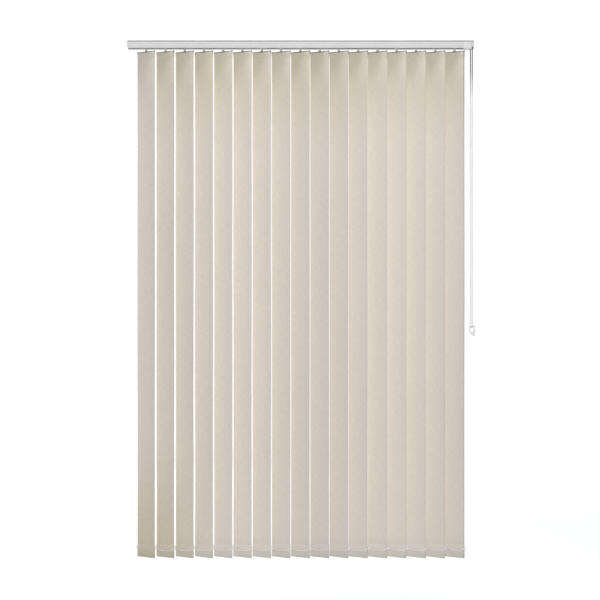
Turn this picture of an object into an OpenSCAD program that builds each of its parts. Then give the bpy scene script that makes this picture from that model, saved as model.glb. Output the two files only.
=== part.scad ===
// Vertical blind: fabric louvres on turning stems that run along a slotted headrail.
// A bead chain turns a tilt rod, and a worm in each runner turns that runner's stem.
// Millimetres. X runs along the rail, the room is on the -Y side and +Z is up.
// The origin is the middle of the line of ceiling screws, on the ceiling.

/* [Blind] */
// Number of louvres
louvre_count = 17; // [3:1:17]
// Distance between stems with the blind drawn across
louvre_pitch = 78; // [70:1:86]
// Distance between stems in the stack
stack_pitch = 18; // [17:0.5:26]
// Angle between each louvre and the rail at rest
rest_angle = 33; // [20:1:75]
// Distance from the last stem to the outer end of the rail
end_margin = 77; // [72:1:140]

/* [Headrail] */
// Depth of the rail from front to back
rail_d = 38; // [37:0.5:60]
// Height of the rail
rail_h = 31; // [30:0.5:50]
// Wall of the rail
rail_wall = 1.3; // [1:0.1:1.8]
// Radius of the rail's lower outer corners
rail_corner_r = 1.5; // [0.5:0.1:3]
// Width of the slot in the rail's underside
slot_w = 11; // [9:0.5:14]
// Height of the upturned lips along the slot
lip_h = 2; // [1:0.1:3]
// Height of the shadow groove along the front and back
groove_h = 4.2; // [2:0.1:5]
// Depth of the shadow groove
groove_d = 0.9; // [0.3:0.1:1.5]
// Height of the land above the shadow groove
groove_land = 1.2; // [0.5:0.1:3]
// Width of the bracket slot in the rail's top
bracket_slot_w = 12; // [11:0.5:16]
// Inside width of the bracket channel
channel_w = 22; // [19:0.5:24]
// Inside height of the bracket channel
channel_h = 4; // [3:0.1:6]

/* [Rail ends] */
// Length of the control housing
housing_l = 41; // [38:1:60]
// Thickness of the idle end cap at its middle
cap_t = 5; // [4.5:0.5:12]
// Radius of the idle end cap's domed face
cap_dome_r = 32; // [28:1:80]
// Radius of the control housing's domed face
housing_dome_r = 200; // [100:5:400]
// Radius of the curve at the outer end of the control housing's front
housing_curve_r = 36; // [32:1:90]
// Length of the control housing's front that curves back
housing_curve_l = 23; // [10:1:28]
// Drop of the control housing's front below the rail
apron_h = 3; // [1:0.1:5]
// Wall at the outer end of the control housing
end_wall = 2; // [1.6:0.1:3]
// Length of the plug that each end pushes into the rail
plug_l = 15; // [8:1:20]
// Wall of the moulded end pieces
moulded_wall = 2; // [1.5:0.1:3]

/* [Brackets] */
// Number of ceiling brackets
bracket_count = 3; // [2:1:5]
// Distance between the outermost brackets
bracket_span = 1100; // [300:10:1240]
// Thickness of the bracket's plate
plate_t = 2; // [1.5:0.1:3]
// Length of the bracket's plate along the rail
plate_l = 34; // [20:1:60]
// Reach of the plate in front of the screw
plate_front = 6.5; // [6:0.5:16]
// Reach of the plate behind the screw
plate_back = 13; // [6:0.5:18]
// Thickness of the bracket's turning foot
foot_t = 1.8; // [1:0.1:2.5]
// Radius of the screw hole
screw_r = 2.25; // [1.5:0.05:3]
// Radius of the counterbore for the screw's head
head_r = 4.3; // [3.5:0.1:4.6]
// Length of the screw hole above its counterbore
screw_hole_l = 3; // [2:0.1:3.5]

/* [Runners] */
// Radius of the runner's wheels
wheel_r = 3.8; // [2.8:0.1:4]
// Width of the runner's wheels
wheel_w = 3.2; // [2:0.1:3.6]
// Radius of the wheel's axle
axle_r = 1.2; // [0.8:0.1:2]
// Wall round the gear and the worm
runner_wall = 1.3; // [1:0.1:1.6]
// Thickness of the runner's chassis
chassis_t = 5; // [3:0.1:5.4]
// Thickness of the spacer strip
strip_t = 0.4; // [0.2:0.05:0.5]
// Height of the spacer strip
strip_h = 6.4; // [3:0.1:7]
// Distance between neighbouring spacer strips in the rail
strip_step = 0.6; // [0.55:0.05:0.7]
// Width of the arm that carries the spacer strip
strip_arm_w = 4; // [2:0.1:8]
// Height of the arm that carries the spacer strip
strip_arm_h = 2; // [1:0.1:3]

/* [Tilt drive] */
// Radius over the tilt rod's flutes
rod_r = 2.3; // [1.8:0.1:2.6]
// Number of flutes along the tilt rod
rod_flutes = 3; // [2:1:6]
// Radius of each flute
flute_r = 0.7; // [0.3:0.1:0.9]
// Height of the tilt rod above the runners' track
rod_up = 13; // [12.8:0.1:14]
// Radius over the worm's thread
worm_r = 3.7; // [3.5:0.1:4.5]
// Depth of the worm's thread
worm_depth = 0.6; // [0.2:0.05:0.7]
// Thickness of the idle end cap's stop at the tilt rod's end
rod_stop = 1; // [0.5:0.1:3]
// Number of chain beads round the chain wheel
wheel_beads = 7; // [7:1:8]
// Thickness of the chain wheel's flanges
flange_t = 0.9; // [0.6:0.1:1.2]
// Height of the flanges above the circle of the beads' centres
flange_rise = 0.5; // [0.2:0.1:1]
// Room for the chain to swing between the flanges
flange_play = 1.5; // [1:0.1:2]
// Radius of the notches in the flanges' rims
flange_notch_r = 1.3; // [0.6:0.1:2]
// Sideways distance from the chain wheel's middle to each strand below the rail
exit_spread = 2.8; // [2:0.1:4.2]
// Height of the notch that shows the front strand
notch_h = 7; // [4:0.5:12]

/* [Stems] */
// Radius of the stem
stem_r = 3; // [2:0.1:3.3]
// Radius over the stem's gear teeth
gear_r = 4.6; // [4.2:0.1:5.2]
// Number of teeth on the stem's gear
gear_teeth = 14; // [10:1:20]
// Depth of the gear teeth
tooth_depth = 1; // [0.5:0.1:1.1]
// Height of the stem's gear
gear_h = 8; // [4:0.5:8.5]
// Width of the fork that holds the hanger
fork_w = 8; // [6:0.5:12]
// Thickness of each cheek of the fork
cheek_t = 1.3; // [0.8:0.1:2]
// Radius of the pin across the fork
fork_pin_r = 1.5; // [1:0.1:2]

/* [Louvres] */
// Width of the louvre's fabric
louvre_w = 89; // [63:1:127]
// Length of the louvre below its hanger's tab
louvre_l = 2047; // [600:1:2600]
// Thickness of the fabric
fabric_t = 0.4; // [0.3:0.05:0.5]
// Distance from the rail's underside to the louvre's top
drop_gap = 11.2; // [11:0.1:30]
// Height of the hem round the hanger
hem_h = 24; // [18:1:40]
// Height of the pocket round the weight
pocket_h = 51; // [49:1:70]
// Height over which a pocket closes to its weld line
weld_taper = 5; // [2:0.5:8]
// Thickness of the hanger
hanger_t = 1.6; // [1:0.1:2]
// Height of the hanger's rib along the top of the fabric
rib_h = 3; // [1.5:0.1:5]
// Width of the rib's turned-down ends
rib_end_w = 2.4; // [1:0.1:4]
// Height of the rib's turned-down ends below the fabric's top
rib_end_h = 5; // [2:0.5:9]
// How far the rib's ends stand out past the fabric's edge
rib_end_out = 1.2; // [0.4:0.1:2]
// How far the rib's ends stand up above the rib
rib_end_up = 1; // [0.2:0.1:2]
// Distance from the hanger's ends and the weight's ends to the fabric's edge
insert_inset = 2.5; // [1:0.5:10]
// Width of the hanger's tab
tab_w = 12; // [8:0.5:20]
// Height of the hanger's tab above the rib
tab_h = 7.4; // [6.8:0.1:8.6]
// Thickness of the weight
weight_t = 2; // [1.2:0.1:2.2]
// Height of the chain clip above the louvre's bottom edge
clip_up = 42.5; // [41:0.5:44]
// Distance from the fabric's edge to the chain clip's pin
clip_out = 5.5; // [5.3:0.1:8]
// Radius of the chain clip's pin
clip_pin_r = 1; // [0.7:0.05:1.2]
// Height of the arm that carries the clip's pin
clip_arm_h = 3; // [2:0.1:4]
// Step from the clip's pin out to the collar under the chain's eye
collar_step = 0.5; // [0.4:0.05:1]
// Step from the clip's pin out to the bulb over the chain's eye
bulb_step = 0.4; // [0.2:0.05:0.8]

/* [Chains] */
// Radius of the bottom chain
link_r = 1.4; // [1:0.05:1.5]
// Sag of the bottom chain between two louvres
link_sag = 11; // [6:0.5:20]
// Wall of the bottom chain's eyes
eye_wall = 0.75; // [0.6:0.05:1.5]
// Height of the bottom chain's eyes
eye_h = 5; // [4.8:0.1:6]
// Diameter of the control chain's beads
bead_d = 4.5; // [3:0.1:4.6]
// Distance between the control chain's beads
bead_pitch = 6; // [5.6:0.1:6.1]
// Width of the chain tidy's arms beside its window
tidy_arm = 5.9; // [3:0.1:6]
// Depth of the chain tidy from front to back
tidy_d = 6; // [4:0.1:8]

/* [Fits] */
// Gap between moving pieces
gap = 0.3; // [0.2:0.05:0.4]
// Radial clearance of a turning fit
run_fit = 0.05; // [0.02:0.01:0.1]
// Clearance of a piece that slides into another and stays there
seat = 0.1; // [0.05:0.01:0.2]
// Gap between the ceiling plate and the rail's top
plate_gap = 0.2; // [0.1:0.05:0.5]

/* [Hidden] */
$fn = 48;
cut = 1;
rail_end = (louvre_count - 1) * louvre_pitch / 2 + end_margin;
function stem_x(i) = (i - (louvre_count + 1) / 2) * louvre_pitch;
function two_digits(i) = i < 10 ? str("0", i) : str(i);
louvres = [1:louvre_count];
fixed_nodes = [
    "headrail", "idle_end_cap", "control_housing", "mounting_brackets", "tilt_rod",
    "chain_wheel", "control_chain", "chain_tidy", "bottom_chain"
];

// Levels of the headrail
rail_top = -plate_t - plate_gap;
rail_bottom = rail_top - rail_h;
track = rail_bottom + rail_wall;
inner_y = rail_d / 2 - rail_wall;
channel_floor = rail_top - rail_wall - channel_h;
chamber_top = channel_floor - rail_wall;
groove_top = rail_top - groove_land;
rail_left = -rail_end + cap_t;
rail_right = rail_end - housing_l;

// Levels of the runners
runner_l = stack_pitch - 2 * gap;
rod_y = gear_r + worm_r + gap;
rod_z = track + rod_up;
gear_pocket_r = gear_r + gap;
worm_cavity_r = worm_r + gap;
worm_house_r = worm_cavity_r + runner_wall;
pocket_floor = rod_z - gear_h / 2;
chassis_bottom = track + lip_h + gap;
runner_top = rod_z + worm_house_r;
tower_y = gear_pocket_r + runner_wall;
boss_r = slot_w / 2 - 2 * gap;
boss_bottom = rail_bottom - 2 * gap;
wheel_outer_y = inner_y - 3 * gap;
chassis_y = wheel_outer_y - wheel_w - 2 * gap;
strip_top = runner_top - strip_arm_h - 2 * gap;
strip_levels = ceil(louvre_pitch / stack_pitch) + 1;
worm_l = runner_l - 2 * runner_wall - 2 * gap;
gear_module = 2 * gear_r / (gear_teeth + 2);

// Levels of the louvres
louvre_top = rail_bottom - drop_gap;
fabric_top = louvre_top - rib_h;
fabric_bottom = louvre_top - louvre_l;
fork_top = boss_bottom - gap;
fork_bottom = louvre_top + 2 * gap;
fork_slot_w = hanger_t + 4 * seat;
tab_top = louvre_top + tab_h;
tab_eye_z = tab_top - fork_w / 2;
hanger_half = hanger_t / 2 + seat / 2;
weight_half = weight_t / 2 + seat / 2;
weight_h = pocket_h - fabric_t - weight_half - 2 * weld_taper;
hanger_h = hem_h - fabric_t - hanger_half - 2 * weld_taper;
insert_w = louvre_w - 2 * insert_inset;
clip_u = louvre_w / 2 + clip_out;
clip_z = fabric_bottom + clip_up;
clip_arm_top = clip_z - eye_h;
collar_r = clip_pin_r + collar_step;
bulb_r = clip_pin_r + bulb_step;
clip_y = -clip_u * sin(rest_angle);

// Bottom chain
link_arc_r = (pow(louvre_pitch / 2, 2) + pow(link_sag, 2)) / (2 * link_sag);
link_half_angle = asin(louvre_pitch / 2 / link_arc_r);
eye_in_r = clip_pin_r + run_fit;
eye_r = eye_in_r + eye_wall;

// Chain wheel and its chamber in the control housing
bead_circle_r = wheel_beads * bead_pitch / (2 * PI);
hub_r = bead_circle_r - bead_d / 2 - 2 * gap;
flange_r = bead_circle_r + flange_rise;
flange_gap = bead_d + flange_play;
chamber_half = exit_spread + bead_d / 2 + 2 * gap;
wheel_x = rail_end - end_wall - chamber_half;
chamber_front = rod_y - bead_circle_r - bead_d / 2 - 2 * gap;
chamber_back = rod_y + bead_circle_r + bead_d / 2 + gap;
wheel_chamber_top = rod_z + bead_circle_r + bead_d / 2 + 2 * gap;

// Route of the control chain: over the wheel, down the rear strand, up the front one
chain_route = [
    [693.4, 9.2, -12.2], [693.4, 12, -13.1], [693.4, 14.4, -15.6], [693.4, 15.3, -18.9],
    [692.9, 15.3, -23], [691.5, 15.3, -28], [690.6, 15.3, -34], [690.6, 15.3, -45],
    [690.6, 15.3, -1155.9], [691.5, 14.4, -1159.3], [692.4, 12, -1161.7],
    [693.4, 8.6, -1162.6], [694.4, 5.2, -1161.7], [695.3, 2.8, -1159.3],
    [696.2, 1.9, -1155.9], [696.2, 1.9, -45], [696.2, 1.9, -34], [695.3, 1.9, -28],
    [693.9, 1.9, -23], [693.4, 1.9, -18.9], [693.4, 2.8, -15.6], [693.4, 5.2, -13.1],
    [693.4, 8, -12.2]
];
chain_ring_step = 45;
chain_sides = 10;

// The tidy hangs in the bottom of the control chain
tidy_y = 8.6;
tidy_z = -1155.9;
tidy_saddle_r = 4.1;
tidy_top = tidy_z + tidy_saddle_r / 2;
tidy_left = 683.8;
tidy_right = 708;
tidy_foot = 696.4;
tidy_knee_drop = 23;
tidy_drop = 42;
tidy_window_drop = 27;
tidy_corner = 2;

white = [0.87, 0.87, 0.86];
plastic = [0.82, 0.82, 0.81];
beige = [0.80, 0.77, 0.70];
metal = [0.72, 0.73, 0.74];

// Moves a drawing from the Y-Z plane to its place along X
module along_x(from, to) {
    translate([from, 0, 0])
        rotate([90, 0, 90])
            linear_extrude(to - from)
                children();
}

// A round bar along X
module bar_x(r, from, to, y, z) {
    translate([from, y, z])
        rotate([0, 90, 0])
            cylinder(r = r, h = to - from);
}

// The outline that the rail shares with the pieces on its ends
module rail_outline() {
    difference() {
        union() {
            translate([-rail_d / 2, rail_bottom + rail_corner_r])
                square([rail_d, rail_h - rail_corner_r]);
            translate([-rail_d / 2 + rail_corner_r, rail_bottom])
                square([rail_d - 2 * rail_corner_r, rail_h]);
            for (side = [-1, 1])
                translate([side * (rail_d / 2 - rail_corner_r), rail_bottom + rail_corner_r])
                    circle(rail_corner_r);
        }
        for (side = [-1, 1])
            translate([side * rail_d / 2 - groove_d, groove_top - groove_h])
                square([2 * groove_d, groove_h]);
    }
}

// The extruded section: runner chamber, slot with lips, bracket channel and side hollows
module rail_section() {
    hollow_from = channel_w / 2 + rail_wall;
    hollow_to = rail_d / 2 - groove_d - rail_wall;
    difference() {
        rail_outline();
        difference() {
            translate([-inner_y, track])
                square([2 * inner_y, chamber_top - track]);
            for (side = [0, 1])
                mirror([side, 0])
                    translate([slot_w / 2, track - cut])
                        square([rail_wall, lip_h + cut]);
        }
        translate([-slot_w / 2, rail_bottom - cut])
            square([slot_w, rail_wall + 2 * cut]);
        translate([-channel_w / 2, channel_floor])
            square([channel_w, channel_h]);
        translate([-bracket_slot_w / 2, rail_top - rail_wall - cut])
            square([bracket_slot_w, rail_wall + 2 * cut]);
        for (side = [0, 1])
            mirror([side, 0])
                translate([hollow_from, channel_floor])
                    square([hollow_to - hollow_from, channel_h]);
    }
}

module headrail() {
    color(white)
        along_x(rail_left, rail_right)
            rail_section();
}

// The part of an end piece that slides into the rail's runner chamber
module plug_section() {
    plug_y = inner_y - 2 * seat;
    plug_bottom = track + lip_h + 2 * seat;
    plug_top = chamber_top - 2 * seat;
    difference() {
        translate([-plug_y, plug_bottom])
            square([2 * plug_y, plug_top - plug_bottom]);
        translate([-plug_y + moulded_wall, plug_bottom - cut])
            square([plug_y - moulded_wall, plug_top - plug_bottom - moulded_wall + cut]);
    }
}

// The end piece's outline, domed outwards towards +X or -X
module domed_end(from, to, dome_r, out) {
    intersection() {
        along_x(from, to)
            rail_outline();
        translate([(out > 0 ? to - dome_r : from + dome_r), rail_d, (rail_top + rail_bottom) / 2])
            rotate([90, 0, 0])
                cylinder(r = dome_r, h = 2 * rail_d, $fn = 180);
    }
}

module idle_end_cap() {
    color(plastic)
        difference() {
            union() {
                domed_end(-rail_end, rail_left, cap_dome_r, -1);
                along_x(rail_left - cut, rail_left + plug_l)
                    plug_section();
            }
            bar_x(rod_r + run_fit, rail_left + rod_stop, rail_left + plug_l + cut, rod_y, rod_z);
        }
}

// The control housing seen from above: its front curves back towards the outer end
module housing_plan(inset) {
    from = rail_right - plug_l;
    curve_x = rail_end - housing_curve_l;
    curve_y = housing_curve_r - rail_d / 2;
    end_l = housing_curve_l + 2 * cut;
    translate([from, inset - rail_d / 2])
        square([curve_x - from, rail_d - 2 * inset]);
    intersection() {
        translate([curve_x - cut, -rail_d / 2])
            square([end_l, rail_d - inset]);
        union() {
            translate([curve_x, curve_y])
                circle(housing_curve_r - inset, $fn = 120);
            translate([curve_x - cut, curve_y])
                square([end_l, rail_d]);
        }
    }
}

// The housing's outside, with an apron that hangs below the rail along its front
module housing_shell() {
    difference() {
        union() {
            intersection() {
                domed_end(rail_right, rail_end, housing_dome_r, 1);
                translate([0, 0, rail_bottom - cut])
                    linear_extrude(rail_h + 2 * cut)
                        housing_plan(0);
            }
            translate([0, 0, rail_bottom - apron_h])
                linear_extrude(apron_h + rail_corner_r)
                    intersection() {
                        difference() {
                            housing_plan(0);
                            housing_plan(moulded_wall);
                        }
                        translate([rail_right, -rail_d])
                            square([housing_l - end_wall / 2, rail_d]);
                    }
        }
        // The rail's shadow groove runs on round the curve
        translate([0, 0, groove_top - groove_h])
            linear_extrude(groove_h)
                difference() {
                    translate([rail_right - cut, -rail_d])
                        square([housing_l + 2 * cut, rail_d]);
                    housing_plan(groove_d);
                }
    }
}

module control_housing() {
    chamber_left = wheel_x - chamber_half;
    chamber_l = 2 * chamber_half;
    color(plastic)
        difference() {
            union() {
                housing_shell();
                along_x(rail_right - plug_l, rail_right + cut)
                    plug_section();
            }
            // Wheel chamber, open below so that the chain can leave
            translate([chamber_left, chamber_front, rail_bottom - cut])
                cube([chamber_l, chamber_back - chamber_front, wheel_chamber_top - rail_bottom + cut]);
            // Notch in the front's lower corner that shows the front strand
            translate([wheel_x + exit_spread - bead_d / 2 - gap, -rail_d, rail_bottom - 2 * apron_h])
                cube([bead_d + 3 * gap, rail_d + chamber_front + cut, notch_h + 2 * apron_h]);
            // Bearing of the tilt rod
            bar_x(rod_r + run_fit, rail_right - plug_l - cut, chamber_left + cut, rod_y, rod_z);
            // Moulding hollow in front of the bearing
            translate([rail_right + moulded_wall, -rail_d / 2 + 2 * moulded_wall, track])
                cube([
                    chamber_left - rail_right - 2 * moulded_wall,
                    rail_d / 2 - 3 * moulded_wall,
                    chamber_top - track
                ]);
        }
}

// One ceiling bracket: plate, round neck through the rail's slot and a foot under its lips
module bracket() {
    neck_r = bracket_slot_w / 2 - gap;
    foot_top = rail_top - rail_wall;
    foot_bottom = foot_top - foot_t;
    difference() {
        union() {
            translate([-plate_l / 2, -plate_front, -plate_t])
                cube([plate_l, plate_front + plate_back, plate_t]);
            translate([0, 0, foot_bottom])
                cylinder(r = neck_r, h = -foot_bottom - plate_t / 2);
            intersection() {
                translate([-neck_r, -channel_w, foot_bottom])
                    cube([2 * neck_r, 2 * channel_w, foot_t]);
                translate([0, 0, foot_bottom - cut])
                    cylinder(r = channel_w / 2 - gap, h = foot_t + 2 * cut);
            }
        }
        translate([0, 0, -screw_hole_l - cut])
            cylinder(r = screw_r, h = screw_hole_l + 2 * cut);
        translate([0, 0, foot_bottom - cut])
            cylinder(r = head_r, h = -foot_bottom + cut - screw_hole_l);
    }
}

module mounting_brackets() {
    color(metal)
        for (k = [0:bracket_count - 1])
            translate([(k / (bracket_count - 1) - 0.5) * bracket_span, 0, 0])
                bracket();
}

module tilt_rod() {
    rod_from = rail_left + rod_stop + gap;
    rod_to = wheel_x + chamber_half - gap;
    color(metal)
        translate([0, rod_y, rod_z])
            along_x(rod_from, rod_to)
                difference() {
                    circle(rod_r);
                    for (k = [1:rod_flutes])
                        rotate(k * 360 / rod_flutes)
                            translate([rod_r + flute_r / 2, 0])
                                circle(flute_r);
                }
}

// A spool for the bead chain: hub, two flanges and a notch in each rim between beads
module chain_wheel() {
    wheel_half = flange_gap / 2 + flange_t;
    through = wheel_half + cut;
    color(plastic)
        difference() {
            union() {
                bar_x(hub_r, wheel_x - wheel_half, wheel_x + wheel_half, rod_y, rod_z);
                for (from = [wheel_x - wheel_half, wheel_x + flange_gap / 2])
                    bar_x(flange_r, from, from + flange_t, rod_y, rod_z);
            }
            bar_x(rod_r + run_fit, wheel_x - through, wheel_x + through, rod_y, rod_z);
            for (k = [1:wheel_beads])
                translate([0, rod_y, rod_z])
                    rotate([k * 360 / wheel_beads, 0, 0])
                        bar_x(flange_notch_r, wheel_x - through, wheel_x + through, flange_r, 0);
        }
}

// A tube swept along a line of points
function unit(v) = v / norm(v);
function split(line, step) = concat(
    [
        for (k = [0:len(line) - 2])
            let (n = ceil(norm(line[k + 1] - line[k]) / step))
                for (j = [0:n - 1]) line[k] + (line[k + 1] - line[k]) * j / n
    ],
    [line[len(line) - 1]]
);
function heading(line, k) = unit(line[min(k + 1, len(line) - 1)] - line[max(k - 1, 0)]);
function ring(line, k, r, sides) =
    let (t = heading(line, k), a = unit([1, 0, 0] - t[0] * t), b = cross(t, a))
        [for (s = [0:sides - 1]) line[k] + r * (cos(s * 360 / sides) * a + sin(s * 360 / sides) * b)];

module tube(line, r, sides) {
    rings = len(line);
    last = (rings - 1) * sides;
    points = [for (k = [0:rings - 1]) each ring(line, k, r, sides)];
    walls = [
        for (k = [0:rings - 2], s = [0:sides - 1])
            let (a = k * sides + s, b = k * sides + (s + 1) % sides)
                each [[a, a + sides, b + sides], [a, b + sides, b]]
    ];
    ends = [
        [for (s = [0:sides - 1]) s],
        [for (s = [0:sides - 1]) last + sides - 1 - s]
    ];
    polyhedron(points, concat(walls, ends));
}

module control_chain() {
    color(white)
        tube(split(chain_route, chain_ring_step), bead_d / 2, chain_sides);
}

// A plate with a window, whose top bar is a saddle for the chain's lower bend
module chain_tidy() {
    window_left = tidy_left + tidy_arm;
    window_right = tidy_right - tidy_arm;
    window_bottom = tidy_top - tidy_window_drop;
    saddle_l = tidy_right - tidy_left - 2 * tidy_corner;
    outline = [
        [tidy_left, tidy_top - tidy_corner],
        [tidy_left + tidy_corner, tidy_top],
        [tidy_right - tidy_corner, tidy_top],
        [tidy_right, tidy_top - tidy_corner],
        [tidy_right, tidy_top - tidy_drop],
        [tidy_foot, tidy_top - tidy_drop],
        [tidy_left, tidy_top - tidy_knee_drop]
    ];
    window = [
        [window_left, tidy_z],
        [window_right, tidy_z],
        [window_right, window_bottom],
        [tidy_foot, window_bottom],
        [window_left, window_bottom + tidy_arm]
    ];
    color(plastic) {
        translate([0, tidy_y + tidy_d / 2, 0])
            rotate([90, 0, 0])
                linear_extrude(tidy_d)
                    difference() {
                        polygon(outline);
                        polygon(window);
                    }
        intersection() {
            bar_x(tidy_saddle_r, tidy_left, tidy_right, tidy_y, tidy_z);
            translate([tidy_left + tidy_corner, tidy_y - tidy_d, tidy_z - 2 * tidy_saddle_r])
                cube([saddle_l, 2 * tidy_d, tidy_top - tidy_z + 2 * tidy_saddle_r]);
        }
    }
}

// The worm sits on the tilt rod, and its thread is drawn as rings
module worm() {
    step = PI * gear_module;
    rings = floor(worm_l / step) - 1;
    root = worm_r - worm_depth;
    first = -rings * step / 2;
    thread = [
        for (k = [0:rings - 1])
            let (x = first + k * step)
                each [[root, x], [worm_r, x + step / 4], [worm_r, x + step / 2], [root, x + 3 * step / 4]]
    ];
    outline = concat(
        [[rod_r + gap, -worm_l / 2], [root, -worm_l / 2]],
        thread,
        [[root, worm_l / 2], [rod_r + gap, worm_l / 2]]
    );
    translate([0, rod_y, rod_z])
        rotate([0, 90, 0])
            rotate_extrude()
                polygon(outline);
}

// The thin strip that draws the next runner along, on its own arm
module spacer(i) {
    level = inner_y - 2 * gap - strip_t - (i % strip_levels) * strip_step;
    translate([-strip_arm_w / 2, -inner_y + gap, runner_top - strip_arm_h])
        cube([strip_arm_w, inner_y - gap, strip_arm_h]);
    translate([-louvre_pitch - strip_arm_w / 2, -level - strip_t, strip_top - strip_h])
        cube([louvre_pitch + strip_arm_w, strip_t, strip_h]);
    translate([-strip_arm_w / 2, -level - strip_t, strip_top - strip_h])
        cube([strip_arm_w, strip_t, strip_h + strip_arm_h]);
}

module runner_wheels() {
    wheel_z = track + wheel_r + gap;
    for (side = [-1, 1], x = [-1, 1])
        translate([x * runner_l / 4, side * wheel_outer_y, wheel_z])
            rotate([side * 90, 0, 0]) {
                cylinder(r = wheel_r, h = wheel_w);
                cylinder(r = axle_r, h = wheel_outer_y);
            }
}

module runner(i) {
    color(plastic)
        translate([stem_x(i), 0, 0]) {
            difference() {
                union() {
                    translate([-runner_l / 2, -chassis_y, chassis_bottom])
                        cube([runner_l, 2 * chassis_y, chassis_t]);
                    translate([-runner_l / 2, -tower_y, chassis_bottom])
                        cube([runner_l, tower_y + rod_y, runner_top - chassis_bottom]);
                    bar_x(worm_house_r, -runner_l / 2, runner_l / 2, rod_y, rod_z);
                    translate([0, 0, boss_bottom])
                        cylinder(r = boss_r, h = chassis_bottom - boss_bottom + cut);
                    runner_wheels();
                    if (i > 1)
                        spacer(i);
                }
                // Pocket for the stem's gear, open above, and the stem's bearing
                translate([0, 0, pocket_floor])
                    cylinder(r = gear_pocket_r, h = runner_top - pocket_floor + cut);
                translate([0, 0, boss_bottom - cut])
                    cylinder(r = stem_r + run_fit, h = pocket_floor - boss_bottom + 2 * cut);
                // Cavity for the worm, and the way through for the tilt rod
                bar_x(worm_cavity_r, -runner_l / 2 + runner_wall, runner_l / 2 - runner_wall, rod_y, rod_z);
                bar_x(rod_r + gap, -runner_l, runner_l, rod_y, rod_z);
            }
            worm();
        }
}

module gear_outline() {
    root = gear_r - tooth_depth;
    step = 360 / gear_teeth;
    shape = [[root, 0], [gear_r, 0.2], [gear_r, 0.4], [root, 0.6]];
    polygon([
        for (k = [0:gear_teeth - 1], p = shape)
            p[0] * [cos((k + p[1]) * step), sin((k + p[1]) * step)]
    ]);
}

module stem(i) {
    gear_bottom = pocket_floor + seat;
    fork_t = fork_slot_w + 2 * cheek_t;
    color(plastic)
        translate([stem_x(i), 0, 0])
            rotate(-rest_angle) {
                translate([0, 0, gear_bottom])
                    linear_extrude(gear_h)
                        gear_outline();
                translate([0, 0, fork_top - cut])
                    cylinder(r = stem_r, h = gear_bottom - fork_top + 2 * cut);
                difference() {
                    translate([-fork_w / 2, -fork_t / 2, fork_bottom])
                        cube([fork_w, fork_t, fork_top - fork_bottom]);
                    translate([-fork_w, -fork_slot_w / 2, fork_bottom - cut])
                        cube([2 * fork_w, fork_slot_w, tab_top + 2 * gap - fork_bottom + cut]);
                }
                translate([0, fork_t / 2, tab_eye_z])
                    rotate([90, 0, 0])
                        cylinder(r = fork_pin_r, h = fork_t);
            }
}

// Half of a pocket's outline, from its fold at the origin up to its weld line
function half_pocket(half, h, taper, tip) = concat(
    [for (a = [0:15:90]) half * [sin(a), 1 - cos(a)]],
    [[half, h - taper], [tip, h]]
);
function mirrored(points) = concat(points, [for (k = [len(points) - 1:-1:1]) [-points[k][0], points[k][1]]]);

// A pocket of folded fabric round a plate, with its fold at the origin
module pocket_section(plate_half, h) {
    outside = half_pocket(plate_half + fabric_t, h, weld_taper, fabric_t / 2);
    inside = half_pocket(plate_half, h - weld_taper / 2, weld_taper, fabric_t / 4);
    difference() {
        polygon(mirrored(outside));
        translate([0, fabric_t])
            polygon(mirrored(inside));
    }
}

module louvre_fabric() {
    sheet_bottom = fabric_bottom + pocket_h - fabric_t;
    sheet_top = fabric_top - hem_h + fabric_t;
    difference() {
        along_x(-louvre_w / 2, louvre_w / 2) {
            translate([-fabric_t / 2, sheet_bottom])
                square([fabric_t, sheet_top - sheet_bottom]);
            translate([0, fabric_bottom])
                pocket_section(weight_half, pocket_h);
            translate([0, fabric_top])
                mirror([0, 1])
                    pocket_section(hanger_half, hem_h);
        }
        // Slit in the top fold for the hanger's tab
        translate([-tab_w / 2 - gap, -cut - hanger_t, fabric_top - hanger_half - fabric_t - cut])
            cube([tab_w + 2 * gap, 2 * cut + 2 * hanger_t, hanger_half + fabric_t + 2 * cut]);
        // Notches in the top corners for the ends of the hanger's rib
        for (side = [0, 1])
            mirror([side, 0, 0])
                translate([louvre_w / 2 - rib_end_w - seat, -cut - hanger_t, fabric_top - rib_end_h - seat])
                    cube([rib_end_w + seat + cut, 2 * cut + 2 * hanger_t, rib_end_h + seat + cut]);
    }
}

// A plate in the hem, a tab up to the stem and a rib along the top of the fabric
module hanger() {
    plate_top = fabric_top - fabric_t - hanger_half;
    difference() {
        union() {
            translate([-louvre_w / 2, -hanger_t / 2, fabric_top + seat])
                cube([louvre_w, hanger_t, rib_h - seat]);
            for (side = [0, 1])
                mirror([side, 0, 0])
                    translate([louvre_w / 2 - rib_end_w, -hanger_t / 2, fabric_top - rib_end_h])
                        cube([rib_end_w + rib_end_out, hanger_t, rib_end_h + rib_h + rib_end_up]);
            translate([-insert_w / 2, -hanger_t / 2, plate_top - hanger_h])
                cube([insert_w, hanger_t, hanger_h]);
            translate([-tab_w / 2, -hanger_t / 2, plate_top - cut])
                cube([tab_w, hanger_t, tab_eye_z - plate_top + cut]);
            translate([-fork_w / 2, -hanger_t / 2, tab_eye_z])
                cube([fork_w, hanger_t, tab_top - tab_eye_z]);
        }
        translate([0, hanger_t, tab_eye_z])
            rotate([90, 0, 0])
                cylinder(r = fork_pin_r + seat, h = 2 * hanger_t);
    }
}

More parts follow.
